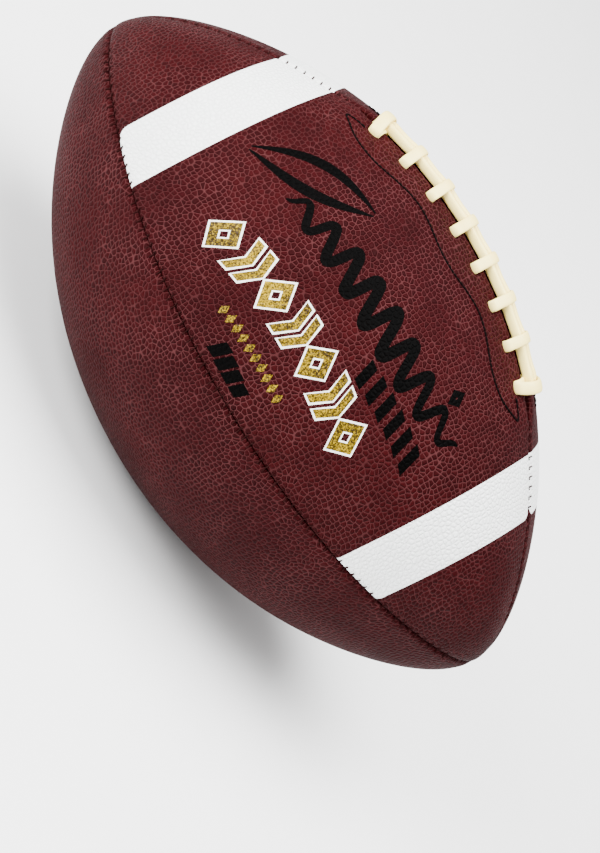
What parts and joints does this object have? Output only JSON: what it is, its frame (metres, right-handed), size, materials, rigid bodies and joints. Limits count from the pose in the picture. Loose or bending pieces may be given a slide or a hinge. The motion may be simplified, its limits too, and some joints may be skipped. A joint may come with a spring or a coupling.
{
  "type": "gridiron football",
  "caption": "Inflated prolate leather ball of sewn panels with a laced top seam, white end bands, cloth linings, a rubber bladder and a valve.",
  "frame": {"origin": "the ball's centre, halfway along its long axis", "axes": "+X along the long axis, +Z out through the middle of the laces, +Y out through the back seam"},
  "size_m": [0.2924, 0.169, 0.1766],
  "materials": {
    "leather": "pebbled dark maroon cover",
    "stripe_white": "white pebbled band",
    "lining_cloth": "woven cotton ply",
    "facing_vinyl": "coated cloth",
    "bladder_rubber": "butyl rubber",
    "valve_rubber": "moulded rubber",
    "plug_rubber": "soft self-sealing rubber",
    "lace_vinyl": "cream vinyl lace",
    "seam_thread": "waxed thread",
    "stitch_thread": "black thread"
  },
  "bodies": {
    "root": {"top_front_panel": "leather", "top_back_panel": "leather", "bottom_front_panel": "leather", "bottom_back_panel": "leather", "left_front_stripe": "stripe_white", "right_front_stripe": "stripe_white", "left_back_stripe": "stripe_white", "right_back_stripe": "stripe_white", "top_front_lining": "lining_cloth", "top_back_lining": "lining_cloth", "bottom_front_lining": "lining_cloth", "bottom_back_lining": "lining_cloth", "front_lace_facing": "facing_vinyl", "back_lace_facing": "facing_vinyl", "bladder_guard": "facing_vinyl", "bladder": "bladder_rubber", "valve_body": "valve_rubber", "valve_plug": "plug_rubber", "lace": "lace_vinyl", "front_seam_thread": "seam_thread", "bottom_seam_thread": "seam_thread", "back_seam_thread": "seam_thread", "left_top_seam_thread": "seam_thread", "right_top_seam_thread": "seam_thread", "front_facing_stitch": "stitch_thread", "back_facing_stitch": "stitch_thread"}
  },
  "joints": []
}
